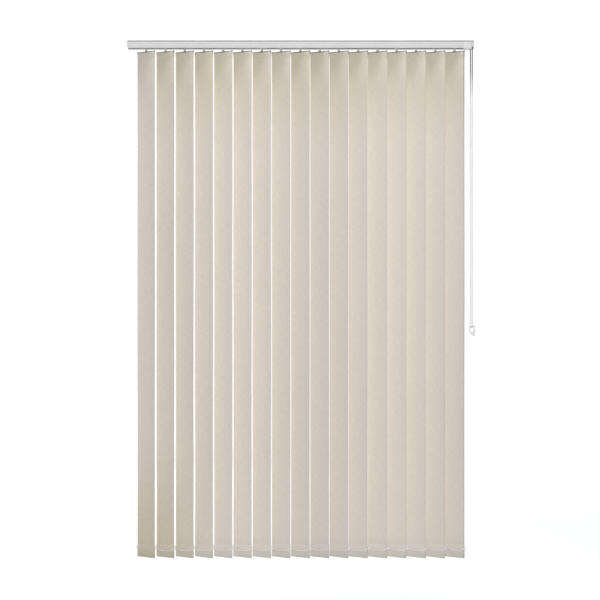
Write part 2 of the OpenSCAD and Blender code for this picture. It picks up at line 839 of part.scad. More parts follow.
// The weight, with an arm and an upright pin for the chain at each end
module weight() {
    plate_bottom = fabric_bottom + fabric_t + weight_half;
    arm_l = clip_out + 2 * insert_inset;
    translate([-insert_w / 2, -weight_t / 2, plate_bottom])
        cube([insert_w, weight_t, weight_h]);
    for (side = [-1, 1])
        translate([side * clip_u, 0, 0]) {
            translate([(side > 0 ? -arm_l : 0), -clip_pin_r, clip_arm_top - clip_arm_h])
                cube([arm_l, 2 * clip_pin_r, clip_arm_h]);
            translate([0, 0, clip_arm_top - clip_arm_h])
                cylinder(r = collar_r, h = clip_z - eye_h / 2 - gap - clip_arm_top + clip_arm_h);
            translate([0, 0, clip_arm_top])
                cylinder(r = clip_pin_r, h = eye_h * 2);
            translate([0, 0, clip_z + eye_h / 2 + gap])
                cylinder(r1 = bulb_r, r2 = clip_pin_r, h = eye_h / 2 - gap);
        }
}

module louvre(i) {
    color(beige)
        translate([stem_x(i), 0, 0])
            rotate(-rest_angle) {
                louvre_fabric();
                hanger();
                weight();
            }
}

// The chain along the louvres' near edges, with an eye on each clip
module bottom_chain() {
    clip_x = clip_u * cos(rest_angle);
    arc_z = clip_z - link_sag + link_arc_r;
    color(white)
        difference() {
            union() {
                for (i = [1:louvre_count - 1])
                    translate([stem_x(i) + clip_x + louvre_pitch / 2, clip_y, arc_z])
                        rotate([90, 0, 0])
                            rotate(270 - link_half_angle)
                                rotate_extrude(angle = 2 * link_half_angle)
                                    translate([link_arc_r, 0])
                                        circle(link_r);
                for (i = louvres)
                    translate([stem_x(i) + clip_x, clip_y, clip_z - eye_h / 2])
                        cylinder(r = eye_r, h = eye_h);
            }
            for (i = louvres)
                translate([stem_x(i) + clip_x, clip_y, clip_z - eye_h])
                    cylinder(r = eye_in_r, h = 2 * eye_h);
        }
}

headrail();
idle_end_cap();
control_housing();
mounting_brackets();
tilt_rod();
chain_wheel();
control_chain();
chain_tidy();
bottom_chain();
for (i = louvres) {
    runner(i);
    stem(i);
    louvre(i);
}
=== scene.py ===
import math
import bpy
import bmesh
from mathutils import Matrix, Vector


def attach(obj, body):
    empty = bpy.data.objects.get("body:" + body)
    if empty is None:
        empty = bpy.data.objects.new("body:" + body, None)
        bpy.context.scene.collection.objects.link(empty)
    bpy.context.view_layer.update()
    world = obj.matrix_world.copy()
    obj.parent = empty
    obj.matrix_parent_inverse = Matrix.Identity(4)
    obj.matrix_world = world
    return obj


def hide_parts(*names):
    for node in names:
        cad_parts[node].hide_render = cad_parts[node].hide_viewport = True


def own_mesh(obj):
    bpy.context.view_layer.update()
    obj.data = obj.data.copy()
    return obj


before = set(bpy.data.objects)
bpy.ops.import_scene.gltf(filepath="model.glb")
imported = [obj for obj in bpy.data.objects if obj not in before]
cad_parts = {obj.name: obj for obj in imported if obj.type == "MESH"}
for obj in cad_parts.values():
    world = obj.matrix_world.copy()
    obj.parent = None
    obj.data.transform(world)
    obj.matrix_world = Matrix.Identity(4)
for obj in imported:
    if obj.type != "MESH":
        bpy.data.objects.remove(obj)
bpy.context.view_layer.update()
print("frame loaded:", len(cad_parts), "nodes")

# the blind's main sizes, in metres
blind = {
    "louvres": 17,
    "pitch": 0.078,
    "stackPitch": 0.018,
    "restAngle": math.radians(33),
    "louvreWidth": 0.089,
    "louvreTop": -0.0444,
    "fabricTop": -0.0474,
    "fabricBottom": -2.0914,
    "clipOut": 0.050,       # stem to the chain pin, along the louvre
    "clipHeight": -2.0489,
}

cameraSpot = {
    "place": (0.0, -5.9, -1.05),
    "sensor": 36,
    "lens": 87.46,
    "shift": (-0.00055, 0.0),
}


def deselectAll():
    if bpy.context.object and bpy.context.object.mode != "OBJECT":
        bpy.ops.object.mode_set(mode="OBJECT")
    bpy.ops.object.select_all(action="DESELECT")


def makeActive(piece):
    deselectAll()
    piece.select_set(True)
    bpy.context.view_layer.objects.active = piece


def applyModifiers(piece):
    makeActive(piece)
    for modifier in list(piece.modifiers):
        bpy.ops.object.modifier_apply(modifier=modifier.name)


def bakePlace(piece):
    makeActive(piece)
    bpy.ops.object.transform_apply(location=True, rotation=True, scale=True)


facing = 0.9    # least part of a face's normal along the way that it faces
mouldedAngle = math.radians(40)


# leaves the active piece in edit mode, with only the faces that pass the test selected
def selectFaces(piece, test):
    bpy.ops.object.mode_set(mode="EDIT")
    bpy.ops.mesh.select_mode(type="FACE")
    bpy.ops.mesh.select_all(action="DESELECT")
    bpy.ops.object.mode_set(mode="OBJECT")
    for face in piece.data.polygons:
        face.select = test(face)
    bpy.ops.object.mode_set(mode="EDIT")


def pushOut(*way):
    bpy.ops.mesh.extrude_region_move(TRANSFORM_OT_translate={"value": way})


def bisectAt(place, normal):
    bpy.ops.mesh.select_all(action="SELECT")
    bpy.ops.mesh.bisect(plane_co=place, plane_no=normal)


def addBlock(name, size, place):
    deselectAll()
    bpy.ops.mesh.primitive_cube_add(size=1, location=place)
    block = bpy.context.object
    block.name = name
    block.scale = size
    bakePlace(block)
    return block


def addBoolean(piece, name, operation, other):
    change = piece.modifiers.new(name, "BOOLEAN")
    change.operation = operation
    change.solver = "EXACT"
    change.object = other


def addBevel(piece, width):
    edges = piece.modifiers.new("edges", "BEVEL")
    edges.width = width
    edges.segments = 2
    edges.limit_method = "ANGLE"


def stemX(number):
    return (number - (blind["louvres"] + 1) / 2) * blind["pitch"]


def louvrePlace(number):
    return Matrix.Translation((stemX(number), 0, 0)) @ Matrix.Rotation(-blind["restAngle"], 4, "Z")


def twoDigits(number):
    return f"{number:02d}"


# camera at the photograph's place
deselectAll()
bpy.ops.object.camera_add(location=cameraSpot["place"], rotation=(math.radians(90), 0, 0))
camera = bpy.context.object
camera.data.sensor_width = cameraSpot["sensor"]
camera.data.lens = cameraSpot["lens"]
camera.data.shift_x, camera.data.shift_y = cameraSpot["shift"]
bpy.context.scene.camera = camera
print("camera placed")


# materials
def newMaterial(name):
    material = bpy.data.materials.new(name)
    material.use_nodes = True
    nodes = material.node_tree.nodes
    shader = nodes["Principled BSDF"]
    return material, nodes, material.node_tree.links, shader


def colourRamp(nodes, stops):
    ramp = nodes.new("ShaderNodeValToRGB")
    ramp.color_ramp.elements[0].position = stops[0][0]
    ramp.color_ramp.elements[0].color = (*stops[0][1], 1)
    ramp.color_ramp.elements[1].position = stops[-1][0]
    ramp.color_ramp.elements[1].color = (*stops[-1][1], 1)
    for position, colour in stops[1:-1]:
        ramp.color_ramp.elements.new(position).color = (*colour, 1)
    return ramp


def addBump(nodes, links, shader, height, strength, distance):
    bump = nodes.new("ShaderNodeBump")
    bump.inputs["Strength"].default_value = strength
    bump.inputs["Distance"].default_value = distance
    links.new(height, bump.inputs["Height"])
    links.new(bump.outputs["Normal"], shader.inputs["Normal"])


def addRoughness(nodes, links, shader, source, low, high):
    spread = nodes.new("ShaderNodeMapRange")
    spread.inputs["To Min"].default_value = low
    spread.inputs["To Max"].default_value = high
    links.new(source, spread.inputs["Value"])
    links.new(spread.outputs["Result"], shader.inputs["Roughness"])


def noiseAt(nodes, links, coordinate, scale, detail=3, stretch=(1, 1, 1)):
    mapping = nodes.new("ShaderNodeMapping")
    mapping.inputs["Scale"].default_value = stretch
    links.new(coordinate, mapping.inputs["Vector"])
    noise = nodes.new("ShaderNodeTexNoise")
    noise.inputs["Scale"].default_value = scale
    noise.inputs["Detail"].default_value = detail
    links.new(mapping.outputs["Vector"], noise.inputs["Vector"])
    return noise.outputs["Fac"]


def mathOf(nodes, links, operation, first, second):
    node = nodes.new("ShaderNodeMath")
    node.operation = operation
    links.new(first, node.inputs[0])
    links.new(second, node.inputs[1])
    return node.outputs["Value"]


finishes = {
    "rail": {
        "dark": (0.495, 0.49, 0.475), "light": (0.535, 0.53, 0.515),
        "grain": 900, "bump": 0.12, "roughness": 0.6, "paintedShadeBand": "grooveShadow"},
    "ends": {
        "dark": (0.555, 0.55, 0.535), "light": (0.60, 0.595, 0.58),
        "grain": 1400, "bump": 0.10, "roughness": 0.6, "paintedShadeBand": "grooveShadow"},
    "mechanism": {
        "dark": (0.74, 0.74, 0.72), "light": (0.82, 0.82, 0.80),
        "grain": 1800, "bump": 0.08, "roughness": 0.45},
    "stem": {
        "dark": (0.48, 0.48, 0.47), "light": (0.56, 0.56, 0.54),
        "grain": 1800, "bump": 0.06, "roughness": 0.4},
    "chain": {
        "dark": (0.66, 0.66, 0.65), "light": (0.73, 0.73, 0.72),
        "grain": 700, "bump": 0.05, "roughness": 0.28, "coat": 0.3, "paintedShadeBand": "upperChainShade"},
    "tidy": {
        "dark": (0.50, 0.50, 0.49), "light": (0.55, 0.55, 0.54),
        "grain": 900, "bump": 0.05, "roughness": 0.25, "coat": 0.3},
    "hanger": {
        "dark": (0.13, 0.125, 0.11), "light": (0.17, 0.165, 0.145),
        "grain": 1500, "bump": 0.08, "roughness": 0.45},
    "weight": {
        "dark": (0.74, 0.73, 0.70), "light": (0.80, 0.79, 0.76),
        "grain": 1500, "bump": 0.08, "roughness": 0.4},
}


# painted shade: a darker colour between two heights, blended in over the given reach
paintedShadeBands = {
    # painted shadow in the groove along the top of the rail and its end pieces
    "grooveShadow": {"colour": (0.32, 0.32, 0.31), "from": -0.0076, "to": -0.0034, "reach": 0.0001},
    # painted shade on the chain's upper stretch, close below the housing, fading further down
    "upperChainShade": {"colour": (0.03, 0.03, 0.03), "from": -0.18, "to": 0.18, "reach": 0.07},
}


def paintedHeightShade(nodes, links, place, colour, key):
    values = paintedShadeBands[key]
    height = nodes.new("ShaderNodeSeparateXYZ")
    links.new(place, height.inputs["Vector"])
    middle, half = (values["from"] + values["to"]) / 2, (values["to"] - values["from"]) / 2
    away = nodes.new("ShaderNodeMath")
    away.operation = "SUBTRACT"
    away.inputs[1].default_value = middle
    links.new(height.outputs["Z"], away.inputs[0])
    distance = nodes.new("ShaderNodeMath")
    distance.operation = "ABSOLUTE"
    links.new(away.outputs["Value"], distance.inputs[0])
    share = nodes.new("ShaderNodeMapRange")
    share.interpolation_type = "SMOOTHSTEP"
    share.inputs["From Min"].default_value = half + values["reach"]
    share.inputs["From Max"].default_value = half - values["reach"]
    links.new(distance.outputs["Value"], share.inputs["Value"])
    blend = nodes.new("ShaderNodeMixRGB")
    blend.inputs["Color2"].default_value = (*values["colour"], 1)
    links.new(share.outputs["Result"], blend.inputs["Fac"])
    links.new(colour, blend.inputs["Color1"])
    return blend.outputs["Color"]


moulded = {
    "cloudScale": 14,
    "grainDetail": 2,
    "rampStops": (0.3, 0.7),
    "roughnessSpread": (-0.06, 0.08),
    "bumpDepth": 0.0004,
    "coatRoughness": 0.2,
}


# painted or moulded surface: fine orange peel, faint cloudiness in colour and gloss
def mouldedFinish(name, key):
    values = finishes[key]
    material, nodes, links, shader = newMaterial(name)
    place = nodes.new("ShaderNodeTexCoord").outputs["Object"]
    cloud = noiseAt(nodes, links, place, moulded["cloudScale"])
    grain = noiseAt(nodes, links, place, values["grain"], moulded["grainDetail"])
    low, high = moulded["rampStops"]
    ramp = colourRamp(nodes, [(low, values["dark"]), (high, values["light"])])
    links.new(cloud, ramp.inputs["Fac"])
    colour = ramp.outputs["Color"]
    # painted shade band, where the finish has one
    if "paintedShadeBand" in values:
        colour = paintedHeightShade(nodes, links, place, colour, values["paintedShadeBand"])
    links.new(colour, shader.inputs["Base Color"])
    smoother, rougher = (values["roughness"] + step for step in moulded["roughnessSpread"])
    addRoughness(nodes, links, shader, cloud, smoother, rougher)
    addBump(nodes, links, shader, grain, values["bump"], moulded["bumpDepth"])
    shader.inputs["Coat Weight"].default_value = values.get("coat", 0.0)
    shader.inputs["Coat Roughness"].default_value = moulded["coatRoughness"]
    return material


metals = {
    "bracketSteel": {
        "dark": (0.50, 0.51, 0.53), "light": (0.64, 0.65, 0.66),
        "roughness": 0.36, "stretch": (1, 1, 1)},
    # grain drawn out along the rail
    "rodAluminium": {
        "dark": (0.66, 0.67, 0.68), "light": (0.78, 0.79, 0.80),
        "roughness": 0.3, "stretch": (0.02, 1, 1)},
}

metalGrain = {
    "scale": 900,
    "detail": 4,
    "rampStops": (0.3, 0.7),
    "roughnessSpread": (-0.08, 0.1),
    "bump": 0.15,
    "bumpDepth": 0.0002,
}


# bare metal with a fine grain
def metalFinish(name):
    values = metals[name]
    material, nodes, links, shader = newMaterial(name)
    place = nodes.new("ShaderNodeTexCoord").outputs["Object"]
    streak = noiseAt(
        nodes, links, place, metalGrain["scale"], metalGrain["detail"], values["stretch"])
    low, high = metalGrain["rampStops"]
    ramp = colourRamp(nodes, [(low, values["dark"]), (high, values["light"])])
    links.new(streak, ramp.inputs["Fac"])
    links.new(ramp.outputs["Color"], shader.inputs["Base Color"])
    smoother, rougher = (values["roughness"] + step for step in metalGrain["roughnessSpread"])
    addRoughness(nodes, links, shader, streak, smoother, rougher)
    addBump(nodes, links, shader, streak, metalGrain["bump"], metalGrain["bumpDepth"])
    shader.inputs["Metallic"].default_value = 1.0
    return material


weave = {
    "dark": (0.55, 0.50, 0.43),
    "light": (0.73, 0.675, 0.60),
    "threadsAcross": 900.0,     # threads in a metre
    "threadsAlong": 760.0,
    "waveBands": 20,            # bands in a metre of the wave texture at a scale of 2 pi
    "distortion": 1.2,
    "detail": 2,
    "detailScale": 0.6,
    "slubScale": 60,
    "slubDetail": 3,
    "slubStretch": (12, 0.7),   # across and along a thick yarn
    "threadShare": 0.35,
    "toneRange": (0.7, 1.7),
    "roughness": 0.9,
    "specular": 0.25,
    "sheen": 0.08,
    "sheenRoughness": 0.5,
    "bump": 0.35,
    "bumpDepth": 0.0003,
}


# woven cloth on the strip's own map, in metres: u across, v along
def clothFinish():
    material, nodes, links, shader = newMaterial("louvreCloth")
    cloth = nodes.new("ShaderNodeUVMap")
    cloth.uv_map = "cloth"
    place = cloth.outputs["UV"]
    threads = []
    for axis, count in (("X", weave["threadsAcross"]), ("Y", weave["threadsAlong"])):
        wave = nodes.new("ShaderNodeTexWave")
        wave.bands_direction = axis
        wave.inputs["Scale"].default_value = count * 2 * math.pi / weave["waveBands"]
        wave.inputs["Distortion"].default_value = weave["distortion"]
        wave.inputs["Detail"].default_value = weave["detail"]
        wave.inputs["Detail Scale"].default_value = weave["detailScale"]
        links.new(place, wave.inputs["Vector"])
        threads.append(wave.outputs["Fac"])
    crossing = mathOf(nodes, links, "MAXIMUM", *threads)
    # thicker yarns here and there, drawn out along both directions
    across, along = weave["slubStretch"]
    slubs = [
        noiseAt(nodes, links, place, weave["slubScale"], weave["slubDetail"], stretch)
        for stretch in ((across, along, 1), (along, across, 1))]
    slub = mathOf(nodes, links, "ADD", *slubs)
    mixed = nodes.new("ShaderNodeMath")
    mixed.operation = "MULTIPLY_ADD"
    mixed.inputs[1].default_value = weave["threadShare"]
    links.new(crossing, mixed.inputs[0])
    links.new(slub, mixed.inputs[2])
    tone = nodes.new("ShaderNodeMapRange")
    least, most = tone.inputs["From Min"], tone.inputs["From Max"]
    least.default_value, most.default_value = weave["toneRange"]
    links.new(mixed.outputs["Value"], tone.inputs["Value"])
    ramp = colourRamp(nodes, [(0.0, weave["dark"]), (1.0, weave["light"])])
    links.new(tone.outputs["Result"], ramp.inputs["Fac"])
    # the tones on each strip, with its painted light and shade
    shade = nodes.new("ShaderNodeAttribute")
    shade.attribute_name = "shade"
    tinting = nodes.new("ShaderNodeMixRGB")
    tinting.blend_type = "MULTIPLY"
    tinting.inputs["Fac"].default_value = 1.0
    links.new(ramp.outputs["Color"], tinting.inputs["Color1"])
    links.new(shade.outputs["Color"], tinting.inputs["Color2"])
    links.new(tinting.outputs["Color"], shader.inputs["Base Color"])
    shader.inputs["Roughness"].default_value = weave["roughness"]
    shader.inputs["Specular IOR Level"].default_value = weave["specular"]
    shader.inputs["Sheen Weight"].default_value = weave["sheen"]
    shader.inputs["Sheen Roughness"].default_value = weave["sheenRoughness"]
    addBump(nodes, links, shader, mixed.outputs["Value"], weave["bump"], weave["bumpDepth"])
    return material


railPaint = mouldedFinish("railPaint", "rail")
endPlastic = mouldedFinish("endPlastic", "ends")
mechanismPlastic = mouldedFinish("mechanismPlastic", "mechanism")
stemPlastic = mouldedFinish("stemPlastic", "stem")
chainPlastic = mouldedFinish("chainPlastic", "chain")
tidyPlastic = mouldedFinish("tidyPlastic", "tidy")
hangerPlastic = mouldedFinish("hangerPlastic", "hanger")
weightPlastic = mouldedFinish("weightPlastic", "weight")
bracketSteel = metalFinish("bracketSteel")
rodAluminium = metalFinish("rodAluminium")
louvreCloth = clothFinish()
print("materials made")


def dressPiece(piece, material, body):
    piece.data.materials.clear()
    piece.data.materials.append(material)
    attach(piece, body)


def dressNode(node, material):
    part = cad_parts[node]
    part.data.materials.clear()
    part.data.materials.append(material)


# bead chains: one bead is modelled, then threaded along the route;
# each pass cuts a quarter off both ends of every stretch of the route
def roundedRoute(points, passes):
    line = [Vector(p) for p in points]
    for _ in range(passes):
        cutLine = [line[0]]
        for a, b in zip(line, line[1:]):
            cutLine += [a.lerp(b, 0.25), a.lerp(b, 0.75)]
        line = cutLine + [line[-1]]
    return line


def routeLength(line):
    return sum((b - a).length for a, b in zip(line, line[1:]))


# points and headings at even steps along a route
def evenSteps(line, distances):
    steps = []
    part, done = 0, 0.0
    for distance in distances:
        while part < len(line) - 2 and done + (line[part + 1] - line[part]).length < distance:
            done += (line[part + 1] - line[part]).length
            part += 1
        along = line[part + 1] - line[part]
        share = (distance - done) / max(along.length, 1e-9)
        steps.append((line[part].lerp(line[part + 1], share), along.normalized()))
    return steps


beadDetail = {"segments": 8, "rings": 6, "threadResolution": 1}


def modelBead(radius):
    deselectAll()
    bpy.ops.mesh.primitive_uv_sphere_add(
        segments=beadDetail["segments"], ring_count=beadDetail["rings"], radius=radius)
    bead = bpy.context.object
    bpy.ops.object.shade_smooth()
    return bead


def threadTube(name, line, radius):
    route = bpy.data.curves.new(name, "CURVE")
    route.dimensions = "3D"
    route.bevel_depth = radius
    route.bevel_resolution = beadDetail["threadResolution"]
    spline = route.splines.new("POLY")
    spline.points.add(len(line) - 1)
    for point, place in zip(spline.points, line):
        point.co = (*place, 1)
    thread = bpy.data.objects.new(name, route)
    bpy.context.collection.objects.link(thread)
    makeActive(thread)
    bpy.ops.object.convert(target="MESH")
    return bpy.context.object


def threadBeads(name, line, steps, beadRadius, threadRadius):
    bead = modelBead(beadRadius)
    whole = bmesh.new()
    for place, heading in steps:
        one = bead.data.copy()
        turn = heading.to_track_quat("Z", "Y").to_matrix().to_4x4()
        one.transform(Matrix.Translation(place) @ turn)
        whole.from_mesh(one)
        bpy.data.meshes.remove(one)
    chainMesh = bpy.data.meshes.new(name)
    whole.to_mesh(chainMesh)
    whole.free()
    bpy.data.objects.remove(bead)
    chain = bpy.data.objects.new(name, chainMesh)
    bpy.context.collection.objects.link(chain)
    thread = threadTube(name + "Thread", line, threadRadius)
    makeActive(chain)
    thread.select_set(True)
    bpy.ops.object.join()
    bpy.ops.object.shade_smooth()
    return chain


controlChain = {
    "beadRadius": 0.00225,
    "beadPitch": 0.006,
    "threadRadius": 0.0019,
    "routePasses": 1,
    "exit": (0.6906, 0.0153, -0.0332),
    "route": [
        (0.6934, 0.0092, -0.0122), (0.6934, 0.012, -0.0131), (0.6934, 0.0144, -0.0156),
        (0.6934, 0.0153, -0.0189), (0.6929, 0.0153, -0.023), (0.6915, 0.0153, -0.028),
        (0.6906, 0.0153, -0.034), (0.6906, 0.0153, -0.045), (0.6906, 0.0153, -1.1559),
        (0.6915, 0.0144, -1.1593), (0.6924, 0.012, -1.1617), (0.6934, 0.0086, -1.1626),
        (0.6944, 0.0052, -1.1617), (0.6953, 0.0028, -1.1593), (0.6962, 0.0019, -1.1559),
        (0.6962, 0.0019, -0.045), (0.6962, 0.0019, -0.034), (0.6953, 0.0019, -0.028),
        (0.6939, 0.0019, -0.023), (0.6934, 0.0019, -0.0189), (0.6934, 0.0028, -0.0156),
        (0.6934, 0.0052, -0.0131), (0.6934, 0.008, -0.0122),
    ],
}


def makeControlChain():
    line = roundedRoute(controlChain["route"], controlChain["routePasses"])
    gap = (line[0] - line[-1]).length
    length = routeLength(line)
    count = round((length + gap) / controlChain["beadPitch"])
    pitch = (length + gap) / count
    steps = evenSteps(line, [min(pitch * k, length) for k in range(count)])
    chain = threadBeads(
        "controlBeadChain", line, steps, controlChain["beadRadius"], controlChain["threadRadius"])
    dressPiece(chain, chainPlastic, "headrail")
    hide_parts("control_chain")
    print("control chain:", count, "beads,", round(length, 3), "m")


bottomChain = {
    "beadRadius": 0.0014,
    "beadsPerSpan": 20,
    "threadRadius": 0.0005,
    "sag": 0.011,
    "ahead": 0.0021,        # the beads run in front of the pins, clear of the closed louvres
    "stepsPerSpan": 16,
    "eyeRadius": 0.0018,
    "eyeHeight": 0.005,
    "eyeWall": 0.0005,
    "eyeSides": 14,
    "eyeClear": 0.003,      # no bead closer to an eye than this
}


# a short sleeve that slips over a louvre's pin and turns with it
def makeEye(place, digits):
    deselectAll()
    bpy.ops.mesh.primitive_cylinder_add(
        vertices=bottomChain["eyeSides"], radius=bottomChain["eyeRadius"],
        depth=bottomChain["eyeHeight"], end_fill_type="NGON", location=place)
    eye = bpy.context.object
    eye.name = "chainEye" + digits
    selectFaces(eye, lambda face: abs(face.normal.z) > facing)
    bpy.ops.mesh.inset(thickness=bottomChain["eyeWall"])
    bpy.ops.mesh.bridge_edge_loops()
    bpy.ops.object.mode_set(mode="OBJECT")
    bakePlace(eye)
    bpy.ops.object.shade_smooth_by_angle(angle=mouldedAngle)
    dressPiece(eye, chainPlastic, "vane_" + digits)
    return eye


# one arc from pin to pin
def makeBottomChain():
    side = blind["clipOut"] * math.cos(blind["restAngle"])
    front = -blind["clipOut"] * math.sin(blind["restAngle"])
    numbers = range(1, blind["louvres"] + 1)
    pins = [Vector((stemX(number) + side, front, blind["clipHeight"])) for number in numbers]
    half, sag = blind["pitch"] / 2, bottomChain["sag"]
    arcRadius = (half ** 2 + sag ** 2) / (2 * sag)
    arcHalf = math.asin(half / arcRadius)
    ahead = Vector((0, -bottomChain["ahead"], 0))
    line = [pins[0] + ahead]
    for pin in pins[:-1]:
        middle = pin + ahead + Vector((half, 0, arcRadius - sag))
        for k in range(1, bottomChain["stepsPerSpan"] + 1):
            angle = -arcHalf + 2 * arcHalf * k / bottomChain["stepsPerSpan"]
            line.append(middle + arcRadius * Vector((math.sin(angle), 0, -math.cos(angle))))
    length = routeLength(line)
    spans, beads = blind["louvres"] - 1, bottomChain["beadsPerSpan"]
    spanLength = length / spans
    distances = [
        spanLength * (span + (bead + 0.5) / beads)
        for span in range(spans) for bead in range(beads)]
    steps = [
        step for step in evenSteps(line, distances)
        if min((step[0] - pin - ahead).length for pin in pins) > bottomChain["eyeClear"]]
    chain = threadBeads(
        "bottomBeadChain", line, steps, bottomChain["beadRadius"], bottomChain["threadRadius"])
    dressPiece(chain, chainPlastic, "bottom_chain")
    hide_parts("bottom_chain")
    eyes = [makeEye(pin, twoDigits(number)) for number, pin in zip(numbers, pins)]
    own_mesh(chain)
    print("bottom chain:", len(steps), "beads,", round(length, 3), "m")


makeControlChain()
makeBottomChain()


# louvres: a strip folded round the hanger above and the weight below
strip = {
    "thickness": 0.0004,
    "hem": 0.024,
    "pocket": 0.051,
    "hangerHalf": 0.00085,
    "weightHalf": 0.00105,
    "taper": 0.005,
    "flap": 0.002,
    "weldStep": 0.003,      # from each weld to the flat panel between them
    "pocketStep": 0.02,     # height of the first row above the bottom fold
    "foldStep": 30,         # degrees between the rows round a fold
    "panelSteps": 56,
    "columns": [
        -0.0445, -0.042, -0.03, -0.017, -0.0063, 0.0063, 0.017, 0.03, 0.038, 0.042, 0.0445],
    "slitHalf": 0.003,
    "cornerCut": 0.0051,    # height of the notch in each top corner
    "cornerFrom": 0.042,
    "bow": 0.0022,
    "bowFade": 6,
    "waves": 1.7,
    "waveStep": 0.37,
    "waveShare": 0.3,
    "clothStep": (0.37, 2.9),   # the weave is moved on from louvre to louvre
    "smoothAngle": math.radians(50),
    "shadeMiddle": 0.986,   # each strip's own tone, a slow wave from louvre to louvre
    "shadeSpread": 0.035,
    "shadePeak": 6,
    "shadeHalfWave": 4,
    # painted light on the left louvres and painted shade on the right ones, evening out the front
    # lamp
    "paintedShadeSlope": -0.0025,
    # painted light and shade across each strip: paler at its far edge, and darker there close
    # below the rail
    "paintedAcrossShade": 0.047,   # paler far half, turned round close below the rail
    "acrossSlope": 0.004,
    "acrossTurn": 0.103,
    "acrossReach": (-0.20, -0.10),
    "firstTop": 0.3,        # share of the top shades on the first louvre
    "nearReach": (0.038, 0.042),
    # painted shade along each louvre's near edge
    "paintedEdgeShade": 0.04,      # darker near edge, deeper on the last louvre
    "paintedLastEdgeShade": 0.18,
    "lastEdgeTop": 0.26,
    # painted shadow of the rail along each strip's top
    "paintedTopShadow": (0.09, 0.09, 0.165),    # warmer and darker below the rail
    "topReach": (-0.45, -0.10),
    # painted shade along each strip's bottom, round the weight
    "paintedFootShade": 0.09,      # darker round the weight
    "footReach": (-2.05, -2.02),
    "cornerShade": (0.13, 0.16, 0.27),  # warmer and darker low down on the first few louvres
    "cornerReach": (1.55, 2.06),
    "cornerStep": 0.3,
}


# the strip from end to end as seen from its edge
def stripLine():
    half = strip["thickness"] / 2
    top, bottom = blind["fabricTop"], blind["fabricBottom"]
    upper, lower = strip["hangerHalf"] + half, strip["weightHalf"] + half
    upperMiddle, lowerMiddle = top - half - upper, bottom + half + lower
    lap, taper, flap = 2 * half, strip["taper"], strip["flap"]
    hem, pocket = top - strip["hem"], bottom + strip["pocket"]
    shoulder, heel = top - strip["cornerCut"], bottom + strip["pocketStep"]
    turns = [math.radians(angle) for angle in range(0, 181, strip["foldStep"])]
    line = [(lap, hem - flap), (lap, hem), (upper, hem + taper), (upper, shoulder)]
    line += [(upper * math.cos(turn), upperMiddle + upper * math.sin(turn)) for turn in turns]
    line += [(-upper, shoulder), (-upper, hem + taper), (0, hem)]
    panelTop, panelBottom = hem - strip["weldStep"], pocket + strip["weldStep"]
    for k in range(strip["panelSteps"] + 1):
        line.append((0, panelTop + (panelBottom - panelTop) * k / strip["panelSteps"]))
    line += [(0, pocket), (-lower, pocket - taper), (-lower, heel)]
    line += [(-lower * math.cos(turn), lowerMiddle - lower * math.sin(turn)) for turn in turns]
    line += [(lower, heel), (lower, pocket - taper), (lap, pocket), (lap, pocket + flap)]
    return line


def modelStrip():
    line = stripLine()
    columns = strip["columns"]
    deselectAll()
    bpy.ops.mesh.primitive_grid_add(
        x_subdivisions=len(columns) - 1, y_subdivisions=len(line) - 1, size=2, calc_uvs=True)
    cloth = bpy.context.object
    cloth.name = "louvreStrip"
    lengths = [0.0]
    for a, b in zip(line, line[1:]):
        lengths.append(lengths[-1] + math.dist(a, b))
    spots = []
    for vertex in cloth.data.vertices:
        column = round((vertex.co.x + 1) / 2 * (len(columns) - 1))
        row = round((1 - vertex.co.y) / 2 * (len(line) - 1))
        spots.append((column, row))
        vertex.co = (columns[column], *line[row])
    layer = cloth.data.uv_layers[0]
    layer.name = "cloth"
    for loop in cloth.data.loops:
        column, row = spots[loop.vertex_index]
        layer.data[loop.index].uv = (columns[column] + blind["louvreWidth"] / 2, lengths[row])
    foldHeight = blind["fabricTop"] - strip["thickness"] - strip["hangerHalf"]
    notchHeight = blind["fabricTop"] - strip["cornerCut"]

    # slit in the top fold for the hanger's tab, notches for the ends of its rib
    def cutAway(face):
        slit = abs(face.center.x) < strip["slitHalf"] and face.center.z > foldHeight
        corner = abs(face.center.x) > strip["cornerFrom"] and face.center.z > notchHeight
        return slit or corner

    selectFaces(cloth, cutAway)
    bpy.ops.mesh.delete(type="FACE")
    bpy.ops.object.mode_set(mode="OBJECT")
    return cloth, lengths[-1]


# stiffened cloth hangs almost flat: a faint bow and a slow wave down its edges
def bowStrip(mesh, number):
    top, bottom = blind["fabricTop"] - strip["hem"], blind["fabricBottom"] + strip["pocket"]
    for vertex in mesh.vertices:
        if bottom < vertex.co.z < top:
            share = (vertex.co.z - bottom) / (top - bottom)
            fade = min(1.0, strip["bowFade"] * share, strip["bowFade"] * (1 - share))
            across = vertex.co.x / (blind["louvreWidth"] / 2)
            wave = math.sin(2 * math.pi * (strip["waves"] * share + strip["waveStep"] * number))
            bend = 1 - across ** 2 + strip["waveShare"] * across * wave
            vertex.co.y += fade * strip["bow"] * bend


hangerSize = {
    "width": 0.084,
    "thickness": 0.0016,
    "top": -0.04865,
    "height": 0.01275,
    "tabWidth": 0.012,
    "tabNeck": 0.008,
    "eyeHeight": -0.0410,
    "tabTop": -0.0370,
    "tabStep": 0.002,       # height over which the tab narrows, below its eye
    "eyeRadius": 0.0016,
    "eyeSides": 20,
    "drillLength": 0.01,
    "ribWidth": 0.089,
    "ribHeight": 0.0029,
    "ribEnd": 0.0024,
    "ribDrop": 0.005,
    "ribRise": 0.001,
    "ribOut": 0.0012,
    "edge": 0.0003,
}


